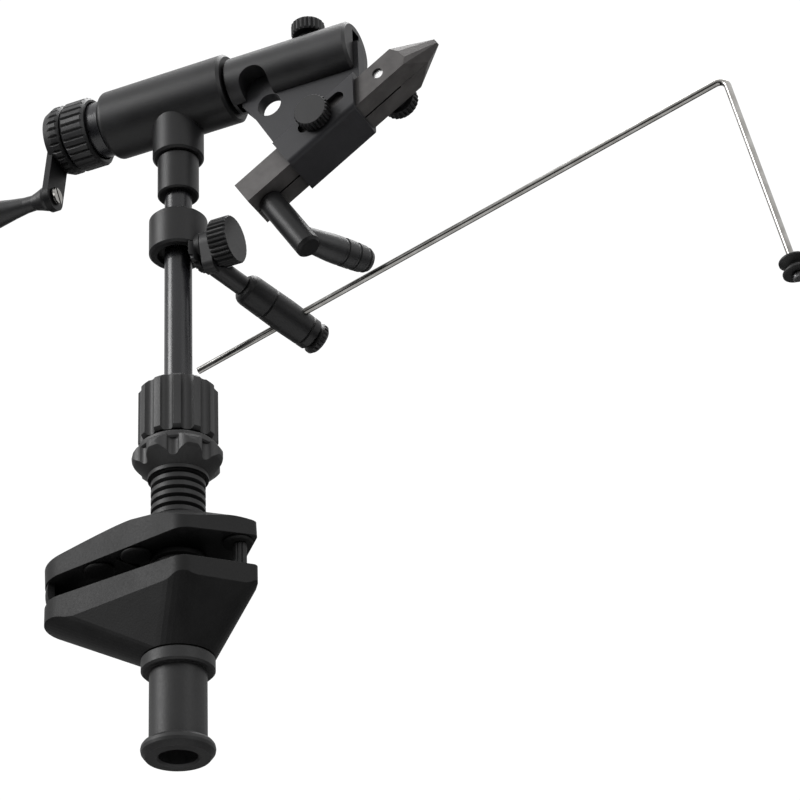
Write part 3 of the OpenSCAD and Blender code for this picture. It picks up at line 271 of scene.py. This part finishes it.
def finish(slot, shade):
    """A slot's finish made once for each pair of shares; its colour is painted lighter or darker, as
    painted light and shade.
    """
    if (slot, shade) not in made_finishes:
        recipe = dict(FINISHES[slot])
        # Painted light and shade: the finish's colours are scaled by the piece's share
        for tone in ("colour", "light"):
            recipe[tone] = tuple(shade[0] * c for c in recipe[tone])
        recipe["specular"] = shade[1] * recipe.get("specular", PLAIN_SPECULAR)
        made_finishes[slot, shade] = finish_of("%s_%d" % (slot, len(made_finishes)), **recipe)
    return made_finishes[slot, shade]


def dress(node, slot):
    """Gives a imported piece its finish."""
    piece = frame["nodes"][node]
    piece.data.materials.clear()
    piece.data.materials.append(finish(slot, PAINTED_LIGHT_AND_GLOSS_SHARES.get(node, (1, 1))))


for part in frame["record"]["subparts"]:
    dress(part["node"], part["material_slot"])


def polish_screw_end(node):
    """Bares the polished end of the gap screw, which shows in the near hook jaw."""
    material = frame["nodes"][node].data.materials[0].copy()
    material.name = "black_anodised_with_bare_end"
    frame["nodes"][node].data.materials[0] = material
    tree = material.node_tree
    shader = tree.nodes["Principled BSDF"]
    split = add(tree, "ShaderNodeSeparateXYZ")
    join(tree, add(tree, "ShaderNodeTexCoord").outputs["Object"], split.inputs["Vector"])
    end_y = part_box(node)[0][1]
    bare = remap(tree, split.outputs["Y"], end_y + SCREW_END, end_y + 2 * SCREW_END, 1, 0)
    painted = shader.inputs["Base Color"].links[0].from_socket
    join(tree, blend_colours(tree, bare, painted, SCREW_END_COLOUR), shader.inputs["Base Color"])
    join(tree, bare, shader.inputs["Metallic"])


polish_screw_end("gap_wheel")


# The studio: a pale floor far below, a pale surround and soft lights

def studio_floor():
    """A pale round floor."""
    bpy.ops.mesh.primitive_circle_add(vertices=FLOOR_SIDES, radius=FLOOR_RADIUS, fill_type="NGON",
                                      location=(0, 0, FLOOR_Z))
    floor = bpy.context.object
    floor.name = "studio_floor"
    material = bpy.data.materials.new("studio_floor")
    material.use_nodes = True
    tree = material.node_tree
    shader = tree.nodes["Principled BSDF"]
    shader.inputs["Roughness"].default_value = FLOOR_ROUGHNESS
    place = add(tree, "ShaderNodeTexCoord").outputs["Object"]
    clouds = noise(tree, place, FLOOR_CLOUDS)
    join(tree, blend_colours(tree, clouds, *FLOOR_TONES), shader.inputs["Base Color"])
    floor.data.materials.append(material)


def studio_surround():
    """A surround that looks pale all round, and lights the object mostly from above."""
    world = bpy.data.worlds.new("studio")
    world.use_nodes = True
    tree = world.node_tree
    background = tree.nodes["Background"]
    direction = add(tree, "ShaderNodeTexCoord").outputs["Generated"]
    split = add(tree, "ShaderNodeSeparateXYZ")
    join(tree, direction, split.inputs["Vector"])
    seen = add(tree, "ShaderNodeLightPath").outputs["Is Camera Ray"]
    around = remap(tree, split.outputs["Z"], *SURROUND_BAND, SURROUND_BELOW, SURROUND_ABOVE)
    strength = add(tree, "ShaderNodeMix", {"B": SURROUND_SEEN})
    join(tree, seen, strength.inputs["Factor"])
    join(tree, around, strength.inputs["A"])
    join(tree, strength.outputs["Result"], background.inputs["Strength"])
    background.inputs["Color"].default_value = (1, 1, 1, 1)
    bpy.context.scene.world = world


def soft_light(name, place, size, power):
    """A square area light that faces the object."""
    data = bpy.data.lights.new(name, "AREA")
    data.energy = power
    data.size = size
    lamp = bpy.data.objects.new(name, data)
    lamp.location = place
    lamp.rotation_euler = (STUDIO_CENTRE - Vector(place)).to_track_quat("-Z", "Y").to_euler()
    bpy.context.scene.collection.objects.link(lamp)


def camera():
    """The photograph's camera: its anchor point lands on the anchor's pixel."""
    a, e, r = CAMERA_HEADING, CAMERA_ELEVATION, CAMERA_ROLL
    level = Vector((math.cos(a), math.sin(a), 0))
    back = Vector((math.sin(a) * math.cos(e), -math.cos(a) * math.cos(e), math.sin(e)))
    rise = back.cross(level)
    right = math.cos(r) * level - math.sin(r) * rise
    up = math.sin(r) * level + math.cos(r) * rise
    aside = (ANCHOR_PIXEL[0] - IMAGE_SIDE / 2) / FOCAL_PIXELS * ANCHOR_DEPTH
    above = (IMAGE_SIDE / 2 - ANCHOR_PIXEL[1]) / FOCAL_PIXELS * ANCHOR_DEPTH
    place = ANCHOR - right * aside - up * above + back * ANCHOR_DEPTH
    data = bpy.data.cameras.new("camera")
    data.sensor_width = SENSOR_WIDTH
    data.lens = FOCAL_PIXELS * SENSOR_WIDTH / IMAGE_SIDE
    data.clip_end = FAR_CLIP
    eye = bpy.data.objects.new("camera", data)
    turn = Matrix((right, up, back)).transposed().to_4x4()
    eye.matrix_world = Matrix.Translation(place) @ turn
    bpy.context.scene.collection.objects.link(eye)
    bpy.context.scene.camera = eye


camera()
studio_floor()
studio_surround()
for light in LIGHTS:
    soft_light(*light)
bpy.context.scene.view_settings.view_transform = "Standard"
